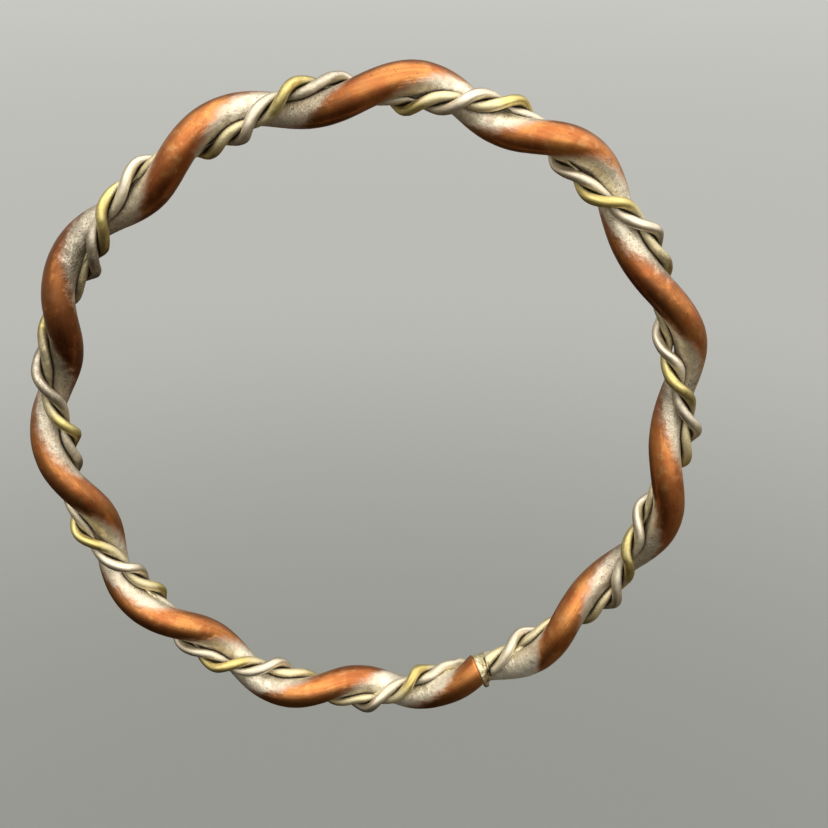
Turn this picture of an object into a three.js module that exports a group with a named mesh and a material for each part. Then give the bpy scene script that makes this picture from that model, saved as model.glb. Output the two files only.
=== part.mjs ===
// A bangle bracelet of twisted metal wire, closed for good by one soldered seam.
//
// One heavy copper wire and one thin strand are laid round each other as a left-hand rope. The strand
// is itself two finer wires, one brass and one silver-coloured, twisted the same way. The rope is bent
// by hand into a slightly oval ring, cut straight across and butted together with solder.
//
// Millimetres, +Z up. The ring stands in the XZ plane and its front looks along -Y. The origin is the
// top of the wrist opening, where the bangle rests when it hangs on a peg.
// Ring angles are in degrees, from +X towards +Z, and run on past 360 so that each wire has one start
// and one end.
import * as THREE from 'three';

// Ring
const HALF_WIDTH = 35.3; // of the rope's centre line, along X
const HALF_HEIGHT = 36.7; // of the rope's centre line, along Z
const BEND_STEP = 30;
// How far the hand-bent ring stands out from its oval, at every BEND_STEP degrees from +X
const BENDS = [-0.25, 0.2, 0.8, -0.05, -0.8, 0.15, 0, -0.2, 0.4, 0.4, -0.4, -0.35];

// Seam, as the angles at which the rope starts and, one round later, ends
const ROPE_START = 293.9;
const ROPE_END = 651.9;

// Copper wire
const COPPER_RADIUS = 1.75;
const COPPER_OFFSET = 1.44; // of its centre from the rope's centre line
// Ring angles at which the copper lies outermost, one twist apart
const COPPER_OUTERMOST = [263, 300.5, 338, 375, 411.5, 442, 476, 510.5, 544, 576.5, 609.5, 640.3, 673];

// Strand of two wires, always on the other side of the rope from the copper
const STRAND_OFFSET = 1.65;
const FINE_RADIUS = 0.6;
const FINE_OFFSET = 0.64; // of each fine wire's centre from the strand's own centre line
// Ring angles at which the brass wire comes to the front, and the whole turns it has made by then
const BRASS_IN_FRONT = [
  [279.5, -1],
  [291.8, 0],
  [305.5, 1],
  [331, 3],
  [367.5, 6],
  [391.5, 8],
  [404.5, 9],
  [428, 11],
  [440, 12],
  [463.5, 14],
  [501, 17],
  [527, 19],
  [540.5, 20],
  [565, 22],
  [577.5, 23],
  [600.5, 25],
  [613, 26],
  [637, 28],
  [661.5, 30],
];
const FRONT = 90; // section angle of the front side, from 0 at the outer side

// Solder
const SOLDER_RADIUS = 2.9;
const SOLDER_WAIST = 2.3; // radius of its flat faces
const SOLDER_THICKNESS = 1;

// Fineness of the solids
const COPPER_SIDES = 10;
const COPPER_STEPS = 150;
const FINE_SIDES = 6;
const FINE_STEPS = 300;
const SOLDER_SIDES = 24;
const ANGLE_STEP = 0.05; // over which directions along a line are measured

// Finishes
const AGED_COPPER = { color: 0xa0562c, roughness: 0.4 };
const BRASS = { color: 0xc9b35a, roughness: 0.36 };
const SILVER = { color: 0xb4ae9b, roughness: 0.38 };
const SOLDER = { color: 0xc4bfa8, roughness: 0.45 };

const radians = THREE.MathUtils.degToRad;
// Height of the opening's top over the centre of the ring
const TOP_INSIDE = HALF_HEIGHT - COPPER_OFFSET - COPPER_RADIUS;

// A smooth curve through marks [x, y] with rising x, as a function of x.
function smoothThrough(marks) {
  const slope = marks.map((mark, i) => {
    const before = marks[Math.max(i - 1, 0)];
    const after = marks[Math.min(i + 1, marks.length - 1)];
    return (after[1] - before[1]) / (after[0] - before[0]);
  });
  return (x) => {
    let i = 0;
    while (i < marks.length - 2 && x > marks[i + 1][0]) i += 1;
    const [x0, y0] = marks[i];
    const [x1, y1] = marks[i + 1];
    const width = x1 - x0;
    const rise = y1 - y0;
    const u = (x - x0) / width;
    const startBulge = (1 - u) * (slope[i] * width - rise);
    const endBulge = u * (slope[i + 1] * width - rise);
    return y0 + rise * u + u * (1 - u) * (startBulge - endBulge);
  };
}

const twoRoundsOfBends = [...BENDS, ...BENDS].map((bend, i) => [BEND_STEP * i, bend]);
const bendAt = smoothThrough(twoRoundsOfBends);
const copperPhase = smoothThrough(COPPER_OUTERMOST.map((angle, twist) => [angle, 360 * twist]));
const brassPhase = smoothThrough(BRASS_IN_FRONT.map(([angle, turn]) => [angle, FRONT + 360 * turn]));

// The rope's centre line.
function ringPoint(angle) {
  const a = radians(angle);
  const bend = bendAt(angle);
  const x = (HALF_WIDTH + bend) * Math.cos(a);
  const z = (HALF_HEIGHT + bend) * Math.sin(a);
  return new THREE.Vector3(x, 0, z - TOP_INSIDE);
}

// Directions at a place on a line: along it, out from the ring's centre, and towards the front.
function frameOf(line, angle) {
  const along = line(angle + ANGLE_STEP).sub(line(angle - ANGLE_STEP)).normalize();
  const round = ringPoint(angle + ANGLE_STEP).sub(ringPoint(angle - ANGLE_STEP));
  const out = round.cross(new THREE.Vector3(0, -1, 0));
  out.addScaledVector(along, -out.dot(along)).normalize();
  const front = out.clone().cross(along);
  return { along, out, front };
}

// The point at a distance from a line, square to it, at a section angle: 0 outer side, 90 front.
function beside(line, angle, distance, sectionAngle) {
  const { out, front } = frameOf(line, angle);
  const a = radians(sectionAngle);
  const point = line(angle);
  point.addScaledVector(out, distance * Math.cos(a));
  point.addScaledVector(front, distance * Math.sin(a));
  return point;
}

function copperLine(angle) {
  return beside(ringPoint, angle, COPPER_OFFSET, copperPhase(angle));
}

function strandLine(angle) {
  return beside(ringPoint, angle, STRAND_OFFSET, copperPhase(angle) + 180);
}

function brassLine(angle) {
  return beside(strandLine, angle, FINE_OFFSET, brassPhase(angle));
}

function silverLine(angle) {
  return beside(strandLine, angle, FINE_OFFSET, brassPhase(angle) + 180);
}

// A round wire along a line. A straight bar is made first, then each of its sections is carried to the
// line and slid along it into a plane straight across the rope, so that both cut ends are flat.
function wireAlong(line, radius, sides, steps) {
  const corners = Array.from({ length: sides }, (_, i) => {
    const a = (2 * Math.PI * i) / sides;
    return new THREE.Vector2(radius * Math.cos(a), radius * Math.sin(a));
  });
  const bar = new THREE.ExtrudeGeometry(new THREE.Shape(corners), { depth: 1, steps, bevelEnabled: false });
  const place = bar.attributes.position;
  for (let i = 0; i < place.count; i += 1) {
    const angle = THREE.MathUtils.lerp(ROPE_START, ROPE_END, place.getZ(i));
    const centre = ringPoint(angle);
    const across = frameOf(ringPoint, angle).along;
    const { along, out, front } = frameOf(line, angle);
    const moved = line(angle).addScaledVector(out, place.getX(i)).addScaledVector(front, -place.getY(i));
    const ahead = moved.clone().sub(centre).dot(across);
    moved.addScaledVector(along, -ahead / along.dot(across));
    place.setXYZ(i, moved.x, moved.y, moved.z);
  }
  bar.computeVertexNormals();
  return bar;
}

// The button of solder that fills the seam, seen as a turned disc with its axis along the rope.
function solderButton() {
  const half = SOLDER_THICKNESS / 2;
  const profile = [
    new THREE.Vector2(0, -half),
    new THREE.Vector2(SOLDER_WAIST, -half),
    new THREE.Vector2(SOLDER_RADIUS, 0),
    new THREE.Vector2(SOLDER_WAIST, half),
    new THREE.Vector2(0, half),
  ];
  return new THREE.LatheGeometry(profile, SOLDER_SIDES);
}

const bangle = new THREE.Group();

function add(name, geometry, finish) {
  const material = new THREE.MeshStandardMaterial({ ...finish, metalness: 1 });
  const mesh = new THREE.Mesh(geometry, material);
  mesh.name = name;
  bangle.add(mesh);
  return mesh;
}

add('copper_wire', wireAlong(copperLine, COPPER_RADIUS, COPPER_SIDES, COPPER_STEPS), AGED_COPPER);
add('brass_wire', wireAlong(brassLine, FINE_RADIUS, FINE_SIDES, FINE_STEPS), BRASS);
add('silver_wire', wireAlong(silverLine, FINE_RADIUS, FINE_SIDES, FINE_STEPS), SILVER);

const seamAngle = (ROPE_START + ROPE_END - 360) / 2;
const solder = add('solder_joint', solderButton(), SOLDER);
solder.position.copy(ringPoint(seamAngle));
solder.quaternion.setFromUnitVectors(new THREE.Vector3(0, 1, 0), frameOf(ringPoint, seamAngle).along);

export default bangle;
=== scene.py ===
import math

import bpy
import numpy as np
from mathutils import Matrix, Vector, kdtree, noise


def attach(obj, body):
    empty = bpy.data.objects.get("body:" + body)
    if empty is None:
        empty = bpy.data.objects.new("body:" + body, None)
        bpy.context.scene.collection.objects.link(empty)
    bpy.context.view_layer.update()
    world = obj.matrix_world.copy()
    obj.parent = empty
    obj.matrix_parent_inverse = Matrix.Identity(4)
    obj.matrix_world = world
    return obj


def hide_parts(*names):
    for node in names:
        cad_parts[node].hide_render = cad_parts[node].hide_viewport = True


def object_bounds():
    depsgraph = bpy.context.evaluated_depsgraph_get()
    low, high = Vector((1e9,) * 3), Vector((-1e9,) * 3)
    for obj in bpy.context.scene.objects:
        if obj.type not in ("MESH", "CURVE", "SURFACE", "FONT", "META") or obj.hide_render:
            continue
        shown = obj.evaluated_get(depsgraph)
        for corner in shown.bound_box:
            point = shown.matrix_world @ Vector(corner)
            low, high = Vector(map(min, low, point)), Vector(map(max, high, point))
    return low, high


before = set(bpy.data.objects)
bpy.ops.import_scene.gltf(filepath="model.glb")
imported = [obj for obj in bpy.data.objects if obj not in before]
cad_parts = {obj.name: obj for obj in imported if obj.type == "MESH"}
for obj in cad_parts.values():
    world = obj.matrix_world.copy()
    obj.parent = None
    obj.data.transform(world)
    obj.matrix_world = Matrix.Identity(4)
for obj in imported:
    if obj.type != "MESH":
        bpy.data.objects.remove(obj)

CAD_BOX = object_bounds()
MM = 0.001

# Ring, as in the CAD model
HALF_WIDTH = 35.3
HALF_HEIGHT = 36.7
BEND_STEP = 30
BENDS = [-0.25, 0.2, 0.8, -0.05, -0.8, 0.15, 0, -0.2, 0.4, 0.4, -0.4, -0.35]
ROPE_START = 293.9
ROPE_END = 651.9
CAD_COPPER_OFFSET = 1.44
CAD_COPPER_RADIUS = 1.75
# Height of the origin, the top of the wrist opening, over the ring's centre
TOP_INSIDE = HALF_HEIGHT - CAD_COPPER_OFFSET - CAD_COPPER_RADIUS

# Copper wire
COPPER_RADIUS = 1.78
COPPER_OFFSET = 1.43
# Ring angles at which the copper lies outermost, one twist apart
COPPER_OUTERMOST = [263, 300.5, 338, 375, 411.5, 442, 476, 510.5, 544, 576.5, 609.5, 640.3, 673]
TUCKED_IN = (644, 7, 0.45)  # ring angle and spread in degrees, and how far the copper lies further in

# Strand of two wires
STRAND_OFFSET = 1.0
# Places where the strand stands off more: ring angle, spread in degrees, and how far
LOOSE = [(374, 3.5, 0.4), (406, 3.5, 0.65), (505.4, 3.5, 0.6), (645, 3.2, 0.5)]
FINE_RADIUS = 0.595
SUNK = 0.11  # how deep the solder lets a fine wire sit in the copper's surface
FRONT = 90  # section angle of the front side
# Ring angles at which the brass wire comes to the front, and the whole turns it has made by then
BRASS_IN_FRONT = [
    (279.5, -1),
    (291.8, 0),
    (305.5, 1),
    (331, 3),
    (367.5, 6),
    (391.5, 8),
    (404.5, 9),
    (428, 11),
    (440, 12),
    (463.5, 14),
    (501, 17),
    (527, 19),
    (540.5, 20),
    (565, 22),
    (577.5, 23),
    (600.5, 25),
    (613, 26),
    (637, 28),
    (661.5, 30),
]

# Places where solder ran over the rope: ring angle, spread in degrees, and how much there is
SOLDER_RUNS = [(298.5, 5, 0.6), (509.5, 4, 0.3), (581.5, 3, 0.5), (633.5, 2.6, 1.0), (645.5, 3.4, 0.9)]
WASHED_ALL_ROUND = (297, 7)  # ring angle and spread of the copper that is silvery all round
# Places where the rope is painted brown and dull, partly dirt of age and partly painted shade: ring angle,
# spread in degrees, and how much
DIRT_AND_SHADE_SPOTS = [
    (332, 7, 0.7),
    (365, 6, 0.7),
    (388, 8, 0.8),
    (457, 10, 0.6),
    (508, 10, 0.8),
    (527, 11, 0.9),
    (551, 10, 0.5),
]

# How far the cut ends lean along the rope, per millimetre towards the front and towards the inner side
RIGHT_CUT = (0.15, 0.25)
LEFT_CUT = (0.22, 0.08)
CUT_FADE = 9  # ring degrees over which the lean fades away into the rope

STEPS = 1900  # places along the rope at which every wire is worked out
ANGLE_STEP = 0.05  # ring degrees over which the ring's direction is measured


# ---------------------------------------------------------------------------------------------
# Lines through space
# ---------------------------------------------------------------------------------------------


def smooth_through(marks, x):
    """A smooth curve through marks (x, y) with rising x, read at every x."""
    mark_x, mark_y = np.array(marks, float).T
    last = len(mark_x) - 1
    before = np.maximum(np.arange(last + 1) - 1, 0)
    after = np.minimum(np.arange(last + 1) + 1, last)
    slope = (mark_y[after] - mark_y[before]) / (mark_x[after] - mark_x[before])
    i = np.clip(np.searchsorted(mark_x, x) - 1, 0, last - 1)
    width = mark_x[i + 1] - mark_x[i]
    rise = mark_y[i + 1] - mark_y[i]
    u = (x - mark_x[i]) / width
    start_bulge = (1 - u) * (slope[i] * width - rise)
    end_bulge = u * (slope[i + 1] * width - rise)
    return mark_y[i] + rise * u + u * (1 - u) * (start_bulge - end_bulge)


def unit(vectors):
    """The same directions, of length 1."""
    return vectors / np.linalg.norm(vectors, axis=-1, keepdims=True)


def bell(value, middle, spread):
    """1 at the middle, falling smoothly to nearly 0 two spreads away."""
    return np.exp(-((value - middle) / spread) ** 2)


def ring_points(angle):
    """The rope's centre line."""
    a = np.radians(angle)
    bend = smooth_through([(BEND_STEP * i, b) for i, b in enumerate(BENDS + BENDS)], angle)
    x = (HALF_WIDTH + bend) * np.cos(a)
    z = (HALF_HEIGHT + bend) * np.sin(a) - TOP_INSIDE
    return np.stack([x, np.zeros_like(x), z], axis=-1)


def ring_direction(angle):
    """The direction along the ring."""
    return unit(ring_points(angle + ANGLE_STEP) - ring_points(angle - ANGLE_STEP))


ANGLE = np.linspace(ROPE_START, ROPE_END, STEPS)
RING = ring_points(ANGLE)
RING_ALONG = ring_direction(ANGLE)
TOWARDS_FRONT = np.array([0.0, -1.0, 0.0])
RING_OUT = np.cross(RING_ALONG, TOWARDS_FRONT)


def frame_of(line):
    """Unit vectors along a line, out from the ring's centre and towards the front, at every step."""
    along = unit(np.gradient(line, axis=0))
    out = RING_OUT - along * np.sum(RING_OUT * along, axis=1, keepdims=True)
    out = unit(out)
    return along, out, np.cross(out, along)


def beside(line, distance, section_angle):
    """A line at a distance from another, square to it, at a section angle."""
    _, out, front = frame_of(line)
    a = np.radians(section_angle)
    distance = np.broadcast_to(distance, a.shape)
    return line + out * (distance * np.cos(a))[:, None] + front * (distance * np.sin(a))[:, None]


def wander(seed, scale, octaves=2):
    """A gentle irregular number between about -1 and 1 at every step; scale is in millimetres."""
    shift = Vector((seed * 7.3, seed * 3.1, 0))
    return np.array([noise.fractal(Vector(tuple(p / scale)) + shift, 1.0, 2.0, octaves) for p in RING])


def cut_lean(towards_front, inward):
    """How far ahead points in each section lie when the sections near the ends follow the cuts."""
    lean = np.zeros_like(towards_front)
    for end, (front_lean, inner_lean) in ((ROPE_START, RIGHT_CUT), (ROPE_END, LEFT_CUT)):
        amount = np.clip(1 - np.abs(ANGLE - end) / CUT_FADE, 0, 1)[:, None]
        lean += amount ** 2 * (front_lean * towards_front + inner_lean * inward)
    return lean


COPPER_PHASE = smooth_through([(a, 360 * i) for i, a in enumerate(COPPER_OUTERMOST)], ANGLE)
BRASS_PHASE = smooth_through([(a, FRONT + 360 * turn) for a, turn in BRASS_IN_FRONT], ANGLE)

tuck_angle, tuck_spread, tuck_depth = TUCKED_IN
copper_offset = COPPER_OFFSET + 0.05 * wander(1, 9) - tuck_depth * bell(ANGLE, tuck_angle, tuck_spread)
copper_line = beside(RING, copper_offset, COPPER_PHASE + 3 * wander(2, 12))
strand_offset = STRAND_OFFSET + sum(gap * bell(ANGLE, angle, spread) for angle, spread, gap in LOOSE)
strand_line = beside(RING, strand_offset, COPPER_PHASE + 180)
brass_line, silver_line = [
    beside(strand_line, FINE_RADIUS + 0.04 * wander(seed, 4), BRASS_PHASE + turned + 8 * wander(seed + 3, 5))
    for seed, turned in ((3, 0), (4, 180))
]


# ---------------------------------------------------------------------------------------------
# Settling the fine wires
# ---------------------------------------------------------------------------------------------


def nearest(line, other, reach=12):
    """For each point of a line, the vector to it from the closest nearby point of another line."""
    index = np.arange(STEPS)
    shifts = range(-reach, reach + 1)
    gaps = np.stack([line - other[np.clip(index + shift, 0, STEPS - 1)] for shift in shifts])
    lengths = np.linalg.norm(gaps, axis=2)
    closest = np.argmin(lengths, axis=0)
    return gaps[closest, index], lengths[closest, index]


def push_off(line, other, clear, share):
    """The move that takes each point of a line clear of another line, or a share of that move."""
    gap, length = nearest(line, other)
    depth = np.maximum(clear - length, 0)
    return gap / length[:, None] * (share * depth)[:, None]


def soften(values, rounds=4):
    """Smooths values along the wire."""
    for _ in range(rounds):
        middle = (values[:-2] + 2 * values[1:-1] + values[2:]) / 4
        values = np.concatenate([values[:1], middle, values[-1:]])
    return values


KEPT = 0.995  # of a wire's movement from one round to the next, so it falls back where nothing pushes


def settle(copper, first, second, rounds=90):
    """Moves the two fine wires off the copper and off each other, as little as it takes."""
    rest = [first, second]
    moved = [np.zeros_like(first), np.zeros_like(second)]
    for _ in range(rounds):
        placed = [rest[i] + moved[i] for i in range(2)]
        for i in range(2):
            push = push_off(placed[i], copper, COPPER_RADIUS + FINE_RADIUS - SUNK, 0.9)
            push += push_off(placed[i], placed[1 - i], 2 * FINE_RADIUS, 0.45)
            moved[i] = soften(moved[i] * KEPT + push)
    return rest[0] + moved[0], rest[1] + moved[1]


brass_line, silver_line = settle(copper_line, brass_line, silver_line)


# ---------------------------------------------------------------------------------------------
# Meshes
# ---------------------------------------------------------------------------------------------


def new_piece(name, vertices, faces, node=None):
    """A mesh object from millimetre points, riding on the bangle's one body, in place of a CAD node
    where there is one."""
    mesh = bpy.data.meshes.new(name)
    mesh.from_pydata((np.asarray(vertices) * MM).tolist(), [], faces)
    mesh.update()
    mesh.shade_smooth()
    piece = bpy.data.objects.new(name, mesh)
    bpy.context.scene.collection.objects.link(piece)
    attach(piece, "root")
    if node:
        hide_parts(node)
    return piece


def add_numbers(piece, name, values):
    """Stores a number at every vertex for the materials to read."""
    attribute = piece.data.attributes.new(name, "FLOAT", "POINT")
    attribute.data.foreach_set("value", np.asarray(values, np.float32).ravel())


def add_vectors(piece, name, values):
    """The same for a vector."""
    attribute = piece.data.attributes.new(name, "FLOAT_VECTOR", "POINT")
    attribute.data.foreach_set("vector", np.asarray(values, np.float32).ravel())


def tube_faces(steps, sides):
    """Quads of a tube, each step's ring joined to the next, and a many-sided face at each end."""
    faces = []
    for step in range(steps - 1):
        here = step * sides
        for side in range(sides):
            after = (side + 1) % sides
            faces.append((here + side, here + after, here + sides + after, here + sides + side))
    faces.append(tuple(range(sides - 1, -1, -1)))
    faces.append(tuple(range((steps - 1) * sides, steps * sides)))
    return faces


def tube_points(line, radius, sides):
    """Points of a round wire, with both ends in the planes of the cuts, and where each point was on
    the straight bar that the wire was bent from."""
    along, out, front = frame_of(line)
    around = np.linspace(0, 2 * math.pi, sides, endpoint=False)
    sideways = radius * np.cos(around)
    upward = radius * np.sin(around)
    points = line[:, None, :] + sideways[None, :, None] * out[:, None, :]
    points = points - upward[None, :, None] * front[:, None, :]
    from_ring = points - RING[:, None, :]
    towards_front = from_ring @ TOWARDS_FRONT
    inward = -np.sum(from_ring * RING_OUT[:, None, :], axis=2)
    ahead = np.sum(from_ring * RING_ALONG[:, None, :], axis=2) - cut_lean(towards_front, inward)
    lean = np.sum(along * RING_ALONG, axis=1)[:, None]
    points = points - along[:, None, :] * (ahead / lean)[:, :, None]
    run = np.concatenate([[0], np.cumsum(np.linalg.norm(np.diff(line, axis=0), axis=1))])
    shape = ahead.shape
    bar = np.stack([
        np.broadcast_to(sideways, shape),
        np.broadcast_to(upward, shape),
        run[:, None] - ahead / lean,
    ], axis=-1)
    return points.reshape(-1, 3), bar.reshape(-1, 3)


def dense(line):
    """A line with two more points between each pair, for measuring distances to it."""
    position = np.linspace(0, STEPS - 1, (STEPS - 1) * 3 + 1)
    return np.stack([np.interp(position, np.arange(STEPS), line[:, axis]) for axis in range(3)], axis=1)


def tree_of(line):
    """A tree that finds the point of a line closest to any place."""
    points = dense(line)
    tree = kdtree.KDTree(len(points))
    for i, point in enumerate(points):
        tree.insert(point, i)
    tree.balance()
    return tree


def distance_to(tree, points):
    """How far each point is from the line that the tree was made of."""
    return np.array([tree.find(point)[2] for point in points])


def bumps(points, scale, seed, octaves=2):
    """Irregular numbers between about -1 and 1 at points; scale is the size of a bump."""
    shift = Vector((seed * 11.7, seed * 5.9, seed * 2.3))
    return np.array([
        noise.fractal(Vector(tuple(p / scale)) + shift, 1.0, 2.0, octaves) for p in points
    ])


COPPER_SIDES = 48
FINE_SIDES = 32
RIM = 0.05  # how far the cut ends are rounded off
PATTERN_SHIFT = 31.0  # along the bar, times the seed, so that the two fine wires are marked differently

flooded = sum(amount * bell(ANGLE, angle, spread) for angle, spread, amount in SOLDER_RUNS)
dirt_and_shade_amount = sum(amount * bell(ANGLE, angle, spread) for angle, spread, amount in DIRT_AND_SHADE_SPOTS)
at_end = (np.arange(STEPS) == 0) | (np.arange(STEPS) == STEPS - 1)
copper_tree = tree_of(copper_line)
brass_tree = tree_of(brass_line)
silver_tree = tree_of(silver_line)


def fillet(gap, flood, height, width):
    """How far solder stands on a wire at a gap from its neighbour, higher and wider where it ran."""
    return height * (1 + 2 * flood) * bell(np.maximum(gap, 0), 0, width * (1 + 2.2 * flood))


def make_copper():
    """The heavy wire, with solder drawn up on it wherever the strand comes near."""
    points, bar = tube_points(copper_line, COPPER_RADIUS, COPPER_SIDES)
    outward = unit(points - np.repeat(copper_line, COPPER_SIDES, axis=0))
    to_strand = np.minimum(distance_to(brass_tree, points), distance_to(silver_tree, points))
    gap = to_strand - FINE_RADIUS
    flood = np.repeat(flooded, COPPER_SIDES)
    # Long shallow dents and smaller ones, then the solder, then its own lumps.
    swell = 0.035 * bumps(points, 5.0, 1) + 0.012 * bumps(points, 1.3, 2)
    swell += fillet(gap, flood, 0.11, 0.20)
    swell += 0.05 * flood * bumps(points, 0.5, 3) * bell(gap, 0, 1.2)
    swell[np.repeat(at_end, COPPER_SIDES)] -= RIM
    points = points + outward * swell[:, None]
    piece = new_piece("copper_core", points, tube_faces(STEPS, COPPER_SIDES), "copper_wire")
    # How far round the wire from the strand: 0 on the side that touches it and 1 on the far side, and
    # less where the solder reached further.
    section_angle = -np.linspace(0, 360, COPPER_SIDES, endpoint=False)
    from_contact = np.abs((section_angle[None, :] - COPPER_PHASE[:, None]) % 360 - 180) / 180
    wash_more = 0.75 * bell(ANGLE, *WASHED_ALL_ROUND) + 0.10 * wander(8, 7) + 0.12 * flooded
    from_contact = from_contact - wash_more[:, None]
    add_numbers(piece, "from_contact", from_contact)
    add_numbers(piece, "gap", gap)
    add_numbers(piece, "flood", np.minimum(flood, 1))
    add_numbers(piece, "dirt_and_shade", np.repeat(dirt_and_shade_amount, COPPER_SIDES))
    add_vectors(piece, "bar", bar)
    return piece


def make_fine(name, line, other_tree, node, seed):
    """One wire of the strand, with solder drawn up on it towards the copper and the other fine wire."""
    points, bar = tube_points(line, FINE_RADIUS, FINE_SIDES)
    outward = unit(points - np.repeat(line, FINE_SIDES, axis=0))
    copper_gap = distance_to(copper_tree, points) - COPPER_RADIUS
    lift = nearest(line, copper_line)[1] - COPPER_RADIUS - FINE_RADIUS + SUNK
    fine_gap = distance_to(other_tree, points) - FINE_RADIUS
    flood = np.repeat(flooded, FINE_SIDES)
    swell = 0.030 * bumps(points, 2.2, seed) + 0.009 * bumps(points, 0.5, seed + 1)
    swell += fillet(fine_gap, flood, 0.04, 0.10)
    swell += fillet(copper_gap, flood, 0.04, 0.12)
    swell[np.repeat(at_end, FINE_SIDES)] -= RIM
    points = points + outward * swell[:, None]
    piece = new_piece(name, points, tube_faces(STEPS, FINE_SIDES), node)
    add_numbers(piece, "gap", np.minimum(copper_gap, fine_gap))
    add_numbers(piece, "standing_off", 0.75 * np.repeat(lift, FINE_SIDES) + 0.5 * copper_gap)
    add_numbers(piece, "flood", flood)
    add_numbers(piece, "dirt_and_shade", np.repeat(dirt_and_shade_amount, FINE_SIDES))
    add_vectors(piece, "bar", bar + np.array([0, 0, PATTERN_SHIFT * seed]))
    return piece


copper = make_copper()
brass = make_fine("brass_strand_wire", brass_line, silver_tree, "brass_wire", 10)
silver = make_fine("silver_strand_wire", silver_line, brass_tree, "silver_wire", 20)


# ---------------------------------------------------------------------------------------------
# Solder
# ---------------------------------------------------------------------------------------------

GROOVE_SIDES = 16
GROOVE_RADIUS = 0.30
GROOVE_DEPTH = 0.08  # of its centre line over the copper's surface

SEAM_SIDES = 160
SEAM_ROWS = 56
SEAM_LAPS = (0.1, 0.2)  # ring degrees by which the solder laps onto the left and the right end
SEAM_CORE = 0.9  # least reach of the solder from the rope's centre line
HOLLOW_SPAN = 18  # half the widest hollow that solder fills, in sides
BLUR_SPAN = 3  # sides either way over which its outline is smoothed
# Lumps and hollows of the seam: section angle, place from 0 at the left end to 1 at the right, their
# spreads, and height
SEAM_MARKS = [
    (112, 0.50, 16, 0.16, 0.18),
    (101, 0.84, 14, 0.13, -0.32),
    (150, 0.88, 45, 0.06, -0.20),
    (165, 0.45, 30, 0.25, 0.14),
    (190, 0.80, 25, 0.20, 0.12),
    (55, 0.50, 20, 0.2, -0.10),
    (250, 0.50, 40, 0.25, 0.12),
    (205, 0.35, 25, 0.1, -0.10),
]
BURR = (10, 0.30, 21, 0.40)  # the same for the burr, without a height
BURR_REACH = 2.25  # of its tip from the rope's centre line


def disc_reach(centres, radii, around):
    """How far the joined outline of some discs reaches from the rope's centre line."""
    reach = np.full_like(around, SEAM_CORE)
    for (x, y), radius in zip(centres, radii):
        towards = x * np.cos(around) + y * np.sin(around)
        aside = x * np.sin(around) - y * np.cos(around)
        inside = radius ** 2 - aside ** 2
        hit = np.where(inside > 0, towards + np.sqrt(np.maximum(inside, 0)), 0)
        reach = np.maximum(reach, hit)
    return reach


def rope_end_outline(step, around):
    """The outline of all three wires where the rope is cut, with the hollows between them filled."""
    offsets = [line[step] - RING[step] for line in (copper_line, brass_line, silver_line)]
    centres = [(offset @ RING_OUT[step], offset @ TOWARDS_FRONT) for offset in offsets]
    reach = disc_reach(centres, [COPPER_RADIUS, FINE_RADIUS, FINE_RADIUS], around)
    window = range(-HOLLOW_SPAN, HOLLOW_SPAN + 1)
    widest = np.max([np.roll(reach, shift) for shift in window], axis=0)
    filled = np.min([np.roll(widest, shift) for shift in window], axis=0)
    blur = range(-BLUR_SPAN, BLUR_SPAN + 1)
    return np.mean([np.roll(filled, shift) for shift in blur], axis=0)


def soft_step(value, low, high):
    """0 below low and 1 above high, with a smooth rise between."""
    u = np.clip((value - low) / (high - low), 0, 1)
    return u * u * (3 - 2 * u)


def turn_between(turn, middle):
    """Degrees from one section angle to another, the short way."""
    return (turn - middle + 180) % 360 - 180


def make_groove_solder():
    """The solder drawn in between the strand and the copper, standing up where it ran over the rope."""
    middle = (brass_line + silver_line) / 2
    closest = np.minimum(nearest(brass_line, copper_line)[1], nearest(silver_line, copper_line)[1])
    open_gap = np.maximum(closest - COPPER_RADIUS - FINE_RADIUS + SUNK, 0)
    full = np.minimum(flooded, 1)
    depth = COPPER_RADIUS + GROOVE_DEPTH + 0.5 * open_gap * full
    line = copper_line + unit(middle - copper_line) * depth[:, None]
    radius = GROOVE_RADIUS + 0.5 * full - 0.9 * open_gap * (1 - full)
    points, _ = tube_points(line, 1.0, GROOVE_SIDES)
    centres = np.repeat(line, GROOVE_SIDES, axis=0)
    reach = np.repeat(np.maximum(radius, 0.05), GROOVE_SIDES) + 0.05 * bumps(points, 0.6, 41)
    points = centres + (points - centres) * reach[:, None]
    faces = tube_faces(STEPS, GROOVE_SIDES)
    piece = new_piece("groove_solder", points, faces)
    add_vectors(piece, "place", points)
    # Where no solder ran over, the groove's solder is painted near black: painted shade in the groove between
    # strand and copper, with some grime.
    add_numbers(piece, "grime_and_shade", np.repeat(1 - np.minimum(2.5 * full, 1), GROOVE_SIDES))
    return piece


def seam_spot(turn, u, angle, place, turn_spread, place_spread, amount=1.0):
    """A soft spot on the seam, amount high."""
    return amount * bell(turn_between(turn, angle), 0, turn_spread) * bell(u, place, place_spread)


def seam_outline(around, u, fullness):
    """The rope's left end turning into its right end, a little fuller between them."""
    left = rope_end_outline(STEPS - 1, around)[None, :]
    right = rope_end_outline(0, around)[None, :]
    to_right = soft_step(u, 0.15, 0.8)
    reach = left * (1 - to_right) + right * to_right
    return reach + 0.4 * (np.maximum(left, right) - reach) * np.sin(math.pi * u) * fullness


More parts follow.
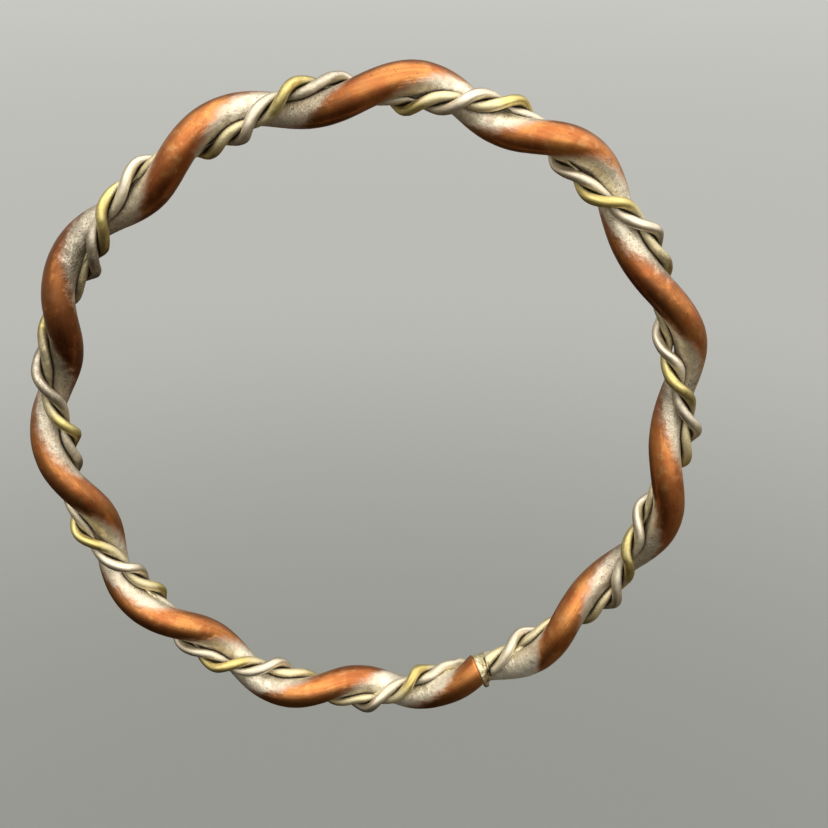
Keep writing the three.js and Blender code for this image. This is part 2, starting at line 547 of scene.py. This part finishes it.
def seam_axes(around, u):
    """Centres of the seam's sections, and the directions away from them, which lean with the cuts."""
    left = ROPE_END - 360 - SEAM_LAPS[0]
    right = ROPE_START + SEAM_LAPS[1]
    ring_angle = left + (right - left) * u[:, 0]
    along = ring_direction(ring_angle)
    out = np.cross(along, TOWARDS_FRONT)
    leans = zip(LEFT_CUT, RIGHT_CUT)
    front_lean, inner_lean = [(1 - u) * at_left + u * at_right for at_left, at_right in leans]
    lean = front_lean * np.sin(around) - inner_lean * np.cos(around)
    across = np.cos(around)[None, :, None] * out[:, None, :]
    across = across + np.sin(around)[None, :, None] * TOWARDS_FRONT
    across = across + lean[:, :, None] * along[:, None, :]
    return ring_points(ring_angle)[:, None, :], across


def make_seam_solder():
    """The lump that joins the two cut ends, with a burr on the ring's outer side."""
    around = np.linspace(0, 2 * math.pi, SEAM_SIDES, endpoint=False)
    turn = np.degrees(around)[None, :]
    u = np.linspace(0, 1, SEAM_ROWS)[:, None]  # from the left end to the right one
    fullness = soft_step(u, 0.0, 0.12) * soft_step(u, 1.0, 0.86)
    reach = seam_outline(around, u, fullness)
    burr = soft_step(seam_spot(turn, u, *BURR), 0.15, 0.8)
    reach += np.maximum(BURR_REACH - reach, 0) * burr

    centre, across = seam_axes(around, u)
    rough_points = (centre + reach[:, :, None] * across).reshape(-1, 3)
    lumps = 0.13 * bumps(rough_points, 0.8, 31, 3) + 0.035 * bumps(rough_points, 0.25, 32)
    height = sum(seam_spot(turn, u, *mark) for mark in SEAM_MARKS) + lumps.reshape(reach.shape)
    reach = (reach + height * fullness) * (0.93 + 0.07 * fullness)
    points = (centre + reach[:, :, None] * across).reshape(-1, 3)
    piece = new_piece("seam_solder", points, tube_faces(SEAM_ROWS, SEAM_SIDES), "solder_joint")
    add_vectors(piece, "place", points)
    add_numbers(piece, "hollow", -height)
    add_numbers(piece, "burr", burr)
    return piece


groove_solder = make_groove_solder()
seam = make_seam_solder()


# ---------------------------------------------------------------------------------------------
# Materials
# ---------------------------------------------------------------------------------------------


class Painter:
    """Short calls for building a tree of shader nodes."""

    def __init__(self, tree):
        self.tree = tree

    def node(self, kind, **settings):
        made = self.tree.nodes.new(kind)
        for key, value in settings.items():
            setattr(made, key, value)
        return made

    def feed(self, socket, value):
        """Links a socket to another node's output, or sets its own value."""
        if isinstance(value, bpy.types.NodeSocket):
            self.tree.links.new(value, socket)
        elif socket.type == "RGBA" and len(value) == 3:
            socket.default_value = (*value, 1.0)
        else:
            socket.default_value = value

    def number(self, name):
        """A number stored at the vertices."""
        return self.node("ShaderNodeAttribute", attribute_name=name).outputs["Fac"]

    def vector(self, name):
        """A vector stored at the vertices."""
        return self.node("ShaderNodeAttribute", attribute_name=name).outputs["Vector"]

    def math(self, operation, a, b=0.0, c=0.0):
        made = self.node("ShaderNodeMath", operation=operation)
        for socket, value in zip(made.inputs, (a, b, c)):
            self.feed(socket, value)
        return made.outputs[0]

    def shifted(self, value, pattern, amount):
        """A number moved up and down by a pattern."""
        return self.math("MULTIPLY_ADD", self.math("SUBTRACT", pattern, 0.5), amount, value)

    def stretch(self, vector, scale):
        made = self.node("ShaderNodeVectorMath", operation="MULTIPLY")
        self.feed(made.inputs[0], vector)
        made.inputs[1].default_value = scale
        return made.outputs[0]

    def noise(self, vector, scale, detail=3.0, roughness=0.55, distortion=0.0):
        made = self.node("ShaderNodeTexNoise")
        self.feed(made.inputs["Vector"], vector)
        made.inputs["Scale"].default_value = scale
        made.inputs["Detail"].default_value = detail
        made.inputs["Roughness"].default_value = roughness
        made.inputs["Distortion"].default_value = distortion
        return made.outputs["Fac"]

    def between(self, value, low, high, out_low=0.0, out_high=1.0):
        """Smoothly carries value from the range low to high onto out_low to out_high."""
        made = self.node("ShaderNodeMapRange", interpolation_type="SMOOTHSTEP")
        self.feed(made.inputs["Value"], value)
        made.inputs["From Min"].default_value = low
        made.inputs["From Max"].default_value = high
        made.inputs["To Min"].default_value = out_low
        made.inputs["To Max"].default_value = out_high
        return made.outputs["Result"]

    # The Mix node has a set of sockets for every kind of value. Its numbers go in at 2 and 3 and come
    # out at 0, and its colours go in at 6 and 7 and come out at 2.

    def mix(self, amount, first, second):
        """A colour between two colours."""
        made = self.node("ShaderNodeMix", data_type="RGBA")
        self.feed(made.inputs[0], amount)
        self.feed(made.inputs[6], first)
        self.feed(made.inputs[7], second)
        return made.outputs[2]

    def blend(self, amount, first, second):
        """A number between two numbers."""
        made = self.node("ShaderNodeMix", data_type="FLOAT")
        self.feed(made.inputs[0], amount)
        self.feed(made.inputs[2], first)
        self.feed(made.inputs[3], second)
        return made.outputs[0]

    def bump(self, height, distance, below=None):
        made = self.node("ShaderNodeBump")
        self.feed(made.inputs["Height"], height)
        made.inputs["Distance"].default_value = distance
        if below is not None:
            self.feed(made.inputs["Normal"], below)
        return made.outputs["Normal"]

    def shader(self, colour, roughness, normal=None, metallic=1.0):
        principled = self.tree.nodes["Principled BSDF"]
        self.feed(principled.inputs["Base Color"], colour)
        self.feed(principled.inputs["Roughness"], roughness)
        self.feed(principled.inputs["Metallic"], metallic)
        if normal is not None:
            self.feed(principled.inputs["Normal"], normal)
        return principled


def new_material(name):
    material = bpy.data.materials.new(name)
    material.use_nodes = True
    return material, Painter(material.node_tree)


def wax(shader, weight):
    """A trace of polish left on the metal, which whitens its brightest lights."""
    shader.inputs["Coat Weight"].default_value = weight
    shader.inputs["Coat Roughness"].default_value = 0.3


GROOVE_GRIME_AND_SHADE = (0.018, 0.011, 0.005)  # painted shade deep in the grooves, with some grime gathered there
SHADE = (0.17, 0.125, 0.077)  # painted shade beside them, with some tarnish
SOIL_AND_SHADE = (0.13, 0.10, 0.066)  # dirt, with painted shade, on solder and on the fine wires
PATINA_AND_SHADE = (0.21, 0.062, 0.016)  # patina, with painted shade, on copper

COPPER = {
    "dull": (0.48, 0.145, 0.035),
    "bright": (0.68, 0.27, 0.07),
    "streak": (0.32, 0.095, 0.03),
    "rubbed": (0.78, 0.42, 0.16),
    "speck": (0.12, 0.04, 0.02),
}
# Solder washed over the copper
WASH = {
    "dull": (0.68, 0.60, 0.46),
    "bright": (0.97, 0.90, 0.73),
    "grain": (0.34, 0.27, 0.18),
    "warm": (0.74, 0.54, 0.38),
    "speck": (0.08, 0.05, 0.03),
    "blush": (0.66, 0.42, 0.29),
    "thick": (0.97, 0.91, 0.75),
}
# The fine wires; coated is their colour where they are soldered
BRASS = {
    "bright": (0.86, 0.75, 0.30),
    "dull": (0.70, 0.56, 0.19),
    "stain": (0.38, 0.28, 0.08),
    "patch": (0.88, 0.81, 0.48),
    "coated": (0.86, 0.76, 0.49),
}
SILVER = {
    "bright": (0.92, 0.84, 0.68),
    "dull": (0.76, 0.68, 0.54),
    "stain": (0.40, 0.32, 0.20),
    "patch": (0.88, 0.80, 0.62),
    "coated": (0.84, 0.76, 0.59),
}
SOLDER = {
    "dull": (0.68, 0.58, 0.34),
    "bright": (0.90, 0.84, 0.62),
    "grain": (0.38, 0.30, 0.12),
    "hollow": (0.20, 0.10, 0.03),
    "burr": (0.05, 0.04, 0.025),
}


def darken_grooves(p, colour, gap, jitter, reach, strength):
    """Painted shade, with some grime, deep between the wires, and painted shade, with some tarnish, beside it
    as far out as reach.
    """
    colour = p.mix(p.between(p.shifted(gap, jitter, 0.7), reach, 0.08, 0.0, strength), colour, SHADE)
    groove = p.between(p.shifted(gap, jitter, 0.26), 0.30, 0.08)
    return p.mix(p.math("MULTIPLY", groove, 0.94), colour, GROOVE_GRIME_AND_SHADE), groove


def soil_and_shade(p, colour, blotches, grains, soil_and_shade_colour, share):
    """Cloudy dirt and painted shade, closed where the rope is darkest; share is how much of the metal takes
    it.
    """
    cloud = p.math("MULTIPLY_ADD", grains, 0.4, p.math("MULTIPLY", blotches, 0.6))
    dirt_and_shade = p.number("dirt_and_shade")
    cover = p.between(p.math("MULTIPLY_ADD", dirt_and_shade, 0.14, cloud), 0.46, 0.66)
    return p.mix(p.math("MULTIPLY", cover, p.math("MULTIPLY", dirt_and_shade, share)), colour, soil_and_shade_colour)


def copper_material():
    """Satin aged copper, washed silver by the solder that ran along the strand."""
    material, p = new_material("aged_copper")
    bar = p.vector("bar")
    streaks = p.noise(p.stretch(bar, (4.0, 4.0, 0.2)), 1.0, 4.0, 0.6)
    hairlines = p.noise(p.stretch(bar, (22.0, 22.0, 0.5)), 1.0, 3.0, 0.6)
    clouds = p.noise(bar, 0.26, 3.0, 0.55, 0.4)
    blotches = p.noise(bar, 1.0, 4.0, 0.6)
    grains = p.noise(bar, 5.0, 3.0, 0.65)
    specks = p.noise(p.stretch(bar, (1.0, 1.0, 0.8)), 3.4, 1.0, 0.5)

    copper = p.mix(p.between(clouds, 0.38, 0.62), COPPER["dull"], COPPER["bright"])
    copper = p.mix(p.between(streaks, 0.42, 0.70, 0.0, 0.55), copper, COPPER["streak"])
    copper = p.mix(p.between(blotches, 0.50, 0.72, 0.0, 0.5), copper, COPPER["rubbed"])
    copper = p.mix(p.between(specks, 0.68, 0.74, 0.0, 0.55), copper, COPPER["speck"])

    wash = p.mix(p.between(blotches, 0.35, 0.60), WASH["dull"], WASH["bright"])
    wash = p.mix(p.between(grains, 0.52, 0.72, 0.0, 0.45), wash, WASH["grain"])
    wash = p.mix(p.between(clouds, 0.50, 0.68, 0.0, 0.35), wash, WASH["warm"])
    wash = p.mix(p.between(specks, 0.69, 0.74, 0.0, 0.8), wash, WASH["speck"])

    # The solder's edge wanders, and thins out to a pinkish blush before it stops.
    edge = p.shifted(p.number("from_contact"), blotches, 0.34)
    edge = p.shifted(edge, p.noise(p.stretch(bar, (2.6, 2.6, 0.7)), 1.0, 3.0, 0.6), 0.14)
    wash = p.mix(p.between(edge, 0.30, 0.52), wash, WASH["blush"])
    washed = p.between(edge, 0.62, 0.38)
    # Patina and painted shade in patches along the copper.
    copper = soil_and_shade(p, copper, blotches, clouds, PATINA_AND_SHADE, 1.0)
    thick = p.number("flood")
    wash = p.mix(p.math("MULTIPLY", thick, 0.75), wash, WASH["thick"])
    # Dirt and painted shade in patches on the solder wash.
    wash = soil_and_shade(p, wash, blotches, grains, SOIL_AND_SHADE, 0.9)
    colour = p.mix(washed, copper, wash)
    # Painted shade in the grooves towards the strand and beside them.
    colour, groove = darken_grooves(p, colour, p.number("gap"), grains, 0.55, 0.6)

    rough = p.blend(washed, p.between(streaks, 0.3, 0.7, 0.28, 0.39), p.between(grains, 0.3, 0.7, 0.40, 0.54))
    rough = p.blend(groove, rough, 0.65)
    lumps = p.math("MULTIPLY_ADD", grains, 0.4, blotches)
    normal = p.bump(p.math("MULTIPLY", lumps, washed), 0.00013)
    normal = p.bump(hairlines, 0.000008, normal)
    # Thick solder has a slightly matt skin.
    metal = p.blend(washed, 1.0, p.math("MULTIPLY_ADD", thick, -0.12, 0.94))
    wax(p.shader(colour, rough, normal, metal), 0.4)
    return material


def fine_material(name, bright, dull, stain, patch, coated):
    """A drawn wire with faint hairlines, silvery where it is soldered and dark in its grooves."""
    material, p = new_material(name)
    bar = p.vector("bar")
    streaks = p.noise(p.stretch(bar, (5.0, 5.0, 0.3)), 1.0, 4.0, 0.6)
    hairlines = p.noise(p.stretch(bar, (26.0, 26.0, 0.7)), 1.0, 3.0, 0.6)
    clouds = p.noise(bar, 0.30, 3.0, 0.55, 0.4)
    blotches = p.noise(bar, 1.2, 4.0, 0.6)
    grains = p.noise(bar, 5.5, 3.0, 0.65)

    colour = p.mix(p.between(clouds, 0.36, 0.64), dull, bright)
    colour = p.mix(p.between(streaks, 0.45, 0.72, 0.0, 0.5), colour, stain)
    colour = p.mix(p.between(blotches, 0.55, 0.75, 0.0, 0.5), colour, patch)
    colour = p.mix(p.between(grains, 0.62, 0.75, 0.0, 0.45), colour, stain)

    clear = p.math("MULTIPLY_ADD", p.number("flood"), -0.6, p.number("standing_off"))
    soldered = p.between(p.shifted(clear, blotches, 0.7), 1.20, 0.65)
    colour = p.mix(p.math("MULTIPLY", soldered, 0.92), colour, coated)
    # Dirt and painted shade in patches on the fine wire.
    colour = soil_and_shade(p, colour, blotches, grains, SOIL_AND_SHADE, 0.7)
    # Painted shade in the grooves against the copper and the other wire, and beside them.
    colour, groove = darken_grooves(p, colour, p.number("gap"), grains, 0.62, 0.75)

    rough = p.blend(soldered, p.between(streaks, 0.3, 0.7, 0.36, 0.46), 0.54)
    rough = p.blend(groove, rough, 0.65)
    normal = p.bump(p.math("MULTIPLY", grains, soldered), 0.00005)
    normal = p.bump(hairlines, 0.000006, normal)
    wax(p.shader(colour, rough, normal), 0.7)
    return material


def solder_material():
    """Solder that froze in lumps, brown in its hollows and dark at the burr's tip, and painted near black
    along the groove, as painted shade with some grime, where it did not run over.
    """
    material, p = new_material("solder")
    place = p.vector("place")
    blotches = p.noise(place, 1.5, 4.0, 0.6)
    grains = p.noise(place, 5.0, 3.0, 0.6)
    colour = p.mix(p.between(blotches, 0.38, 0.62), SOLDER["dull"], SOLDER["bright"])
    colour = p.mix(p.between(grains, 0.50, 0.72, 0.0, 0.5), colour, SOLDER["grain"])
    stained = p.between(p.shifted(p.number("hollow"), grains, 0.1), 0.03, 0.16, 0.0, 0.85)
    colour = p.mix(stained, colour, SOLDER["hollow"])
    tip = p.between(p.shifted(p.number("burr"), blotches, 0.5), 0.35, 0.70, 0.0, 0.85)
    colour = p.mix(tip, colour, SOLDER["burr"])
    # Painted shade, with some grime, in the groove where no solder ran over.
    colour = p.mix(p.math("MULTIPLY", p.number("grime_and_shade"), 0.9), colour, GROOVE_GRIME_AND_SHADE)
    rough = p.between(grains, 0.3, 0.7, 0.32, 0.5)
    p.shader(colour, rough, p.bump(grains, 0.00008))
    return material


def dress(piece, material):
    """Gives a piece its only material."""
    piece.data.materials.clear()
    piece.data.materials.append(material)


dress(copper, copper_material())
dress(brass, fine_material("brass", **BRASS))
dress(silver, fine_material("silver", **SILVER))
solder = solder_material()
dress(groove_solder, solder)
dress(seam, solder)


# ---------------------------------------------------------------------------------------------
# Floor, light and camera
# ---------------------------------------------------------------------------------------------

FLOOR_DROP = 60 * MM  # the bangle hangs clear of the floor
FLOOR_HALF = 4.0
# The floor as the camera sees it, painted darker under the bangle and lighter far off as painted shade and
# light: under the bangle, round it and far off
FLOOR_UNDER = (0.222, 0.232, 0.225)
FLOOR_ROUND = (0.352, 0.361, 0.364)
FLOOR_FAR = (0.412, 0.425, 0.428)
# The floor as the metal reflects it: under the bangle, to the right of that, and far off
REFLECTED_UNDER = (0.012, 0.009, 0.006)
REFLECTED_RIGHT = (0.075, 0.06, 0.042)
REFLECTED_FAR = (0.20, 0.18, 0.145)

LIGHT = (1.95, 1.9, 1.77)  # the large light overhead
LIGHT_FROM = (0.20, -0.43, 0.88)  # the way to its middle
ROOM = (0.30, 0.285, 0.255)
ROOM_RIGHT = (0.95, 0.91, 0.82)
ROOM_LEFT = (0.50, 0.47, 0.42)
BACKDROP = (0.56, 0.57, 0.53)  # what the camera sees instead of the room

RING_CENTRE = Vector((0, 0, -TOP_INSIDE * MM))


def make_floor():
    """A pale floor, painted darker under the bangle and lighter away from it as a painted fall-off of light.
    The metal reflects it far darker than the camera sees it: nearly black under the bangle, and a little
    lighter to the right."""
    z = CAD_BOX[0][2] - FLOOR_DROP
    mesh = bpy.data.meshes.new("floor")
    corners = [(x * FLOOR_HALF, y * FLOOR_HALF, z) for x, y in ((-1, -1), (1, -1), (1, 1), (-1, 1))]
    mesh.from_pydata(corners, [], [(0, 1, 2, 3)])
    floor = bpy.data.objects.new("floor", mesh)
    bpy.context.scene.collection.objects.link(floor)
    material, p = new_material("floor")
    place = p.stretch(p.node("ShaderNodeTexCoord").outputs["Object"], (1.0, 1.0, 0.0))
    length = p.node("ShaderNodeVectorMath", operation="LENGTH")
    p.feed(length.inputs[0], place)
    away = length.outputs["Value"]
    seen = p.mix(p.between(away, 0.07, 0.33), FLOOR_UNDER, FLOOR_ROUND)
    seen = p.mix(p.between(away, 0.30, 1.20), seen, FLOOR_FAR)
    in_metal = p.node("ShaderNodeLightPath").outputs["Is Glossy Ray"]
    sideways = p.node("ShaderNodeSeparateXYZ")
    p.feed(sideways.inputs[0], place)
    under = p.mix(p.between(sideways.outputs["X"], 0.0, 0.06), REFLECTED_UNDER, REFLECTED_RIGHT)
    reflected = p.mix(p.between(away, 0.08, 0.45), under, REFLECTED_FAR)
    shader = p.shader(p.mix(in_metal, seen, reflected), 0.9, metallic=0.0)
    shader.inputs["Specular IOR Level"].default_value = 0.1
    mesh.materials.append(material)


def make_world():
    """A plain room: a very large soft light overhead and a little to the front, and a dimmer room round
    it, brightest on the right, less bright on the left and dimmest behind."""
    world = bpy.data.worlds.new("studio")
    world.use_nodes = True
    p = Painter(world.node_tree)
    towards = p.node("ShaderNodeTexCoord").outputs["Generated"]
    facing = p.node("ShaderNodeVectorMath", operation="DOT_PRODUCT")
    p.feed(facing.inputs[0], towards)
    facing.inputs[1].default_value = Vector(LIGHT_FROM).normalized()
    lamp = p.between(facing.outputs["Value"], 0.15, 0.85)
    sideways = p.node("ShaderNodeSeparateXYZ")
    p.feed(sideways.inputs[0], towards)
    at_right = p.between(sideways.outputs["X"], 0.25, 0.95)
    at_left = p.between(sideways.outputs["X"], -0.25, -0.95)
    room = p.mix(at_right, ROOM, ROOM_RIGHT)
    room = p.mix(at_left, room, ROOM_LEFT)
    light = p.mix(lamp, room, LIGHT)
    in_view = p.node("ShaderNodeLightPath").outputs["Is Camera Ray"]
    background = p.tree.nodes["Background"]
    p.feed(background.inputs["Color"], p.mix(in_view, light, BACKDROP))
    background.inputs["Strength"].default_value = 1.0
    bpy.context.scene.world = world


CAMERA_DISTANCE = 0.160
CAMERA_AZIMUTH = 3.47
CAMERA_ELEVATION = 24.44
CAMERA_AIM = Vector((5.26 * MM, 0, 0.53 * MM))  # from the ring's centre
SENSOR_WIDTH = 36
LENS_OVER_SENSOR = 1421 / 828


def make_camera():
    """A camera a little to the right of the bangle's front and above it."""
    azimuth = math.radians(CAMERA_AZIMUTH)
    elevation = math.radians(CAMERA_ELEVATION)
    direction = Vector((
        math.sin(azimuth) * math.cos(elevation),
        -math.cos(azimuth) * math.cos(elevation),
        math.sin(elevation),
    ))
    lens = bpy.data.cameras.new("camera")
    lens.sensor_width = SENSOR_WIDTH
    lens.lens = SENSOR_WIDTH * LENS_OVER_SENSOR
    lens.clip_start = 0.01
    camera = bpy.data.objects.new("camera", lens)
    camera.location = RING_CENTRE + direction * CAMERA_DISTANCE
    aim = RING_CENTRE + CAMERA_AIM
    camera.rotation_euler = (aim - camera.location).to_track_quat("-Z", "Y").to_euler()
    bpy.context.scene.collection.objects.link(camera)
    bpy.context.scene.camera = camera


make_floor()
make_world()
make_camera()
bpy.context.scene.view_settings.view_transform = "Standard"
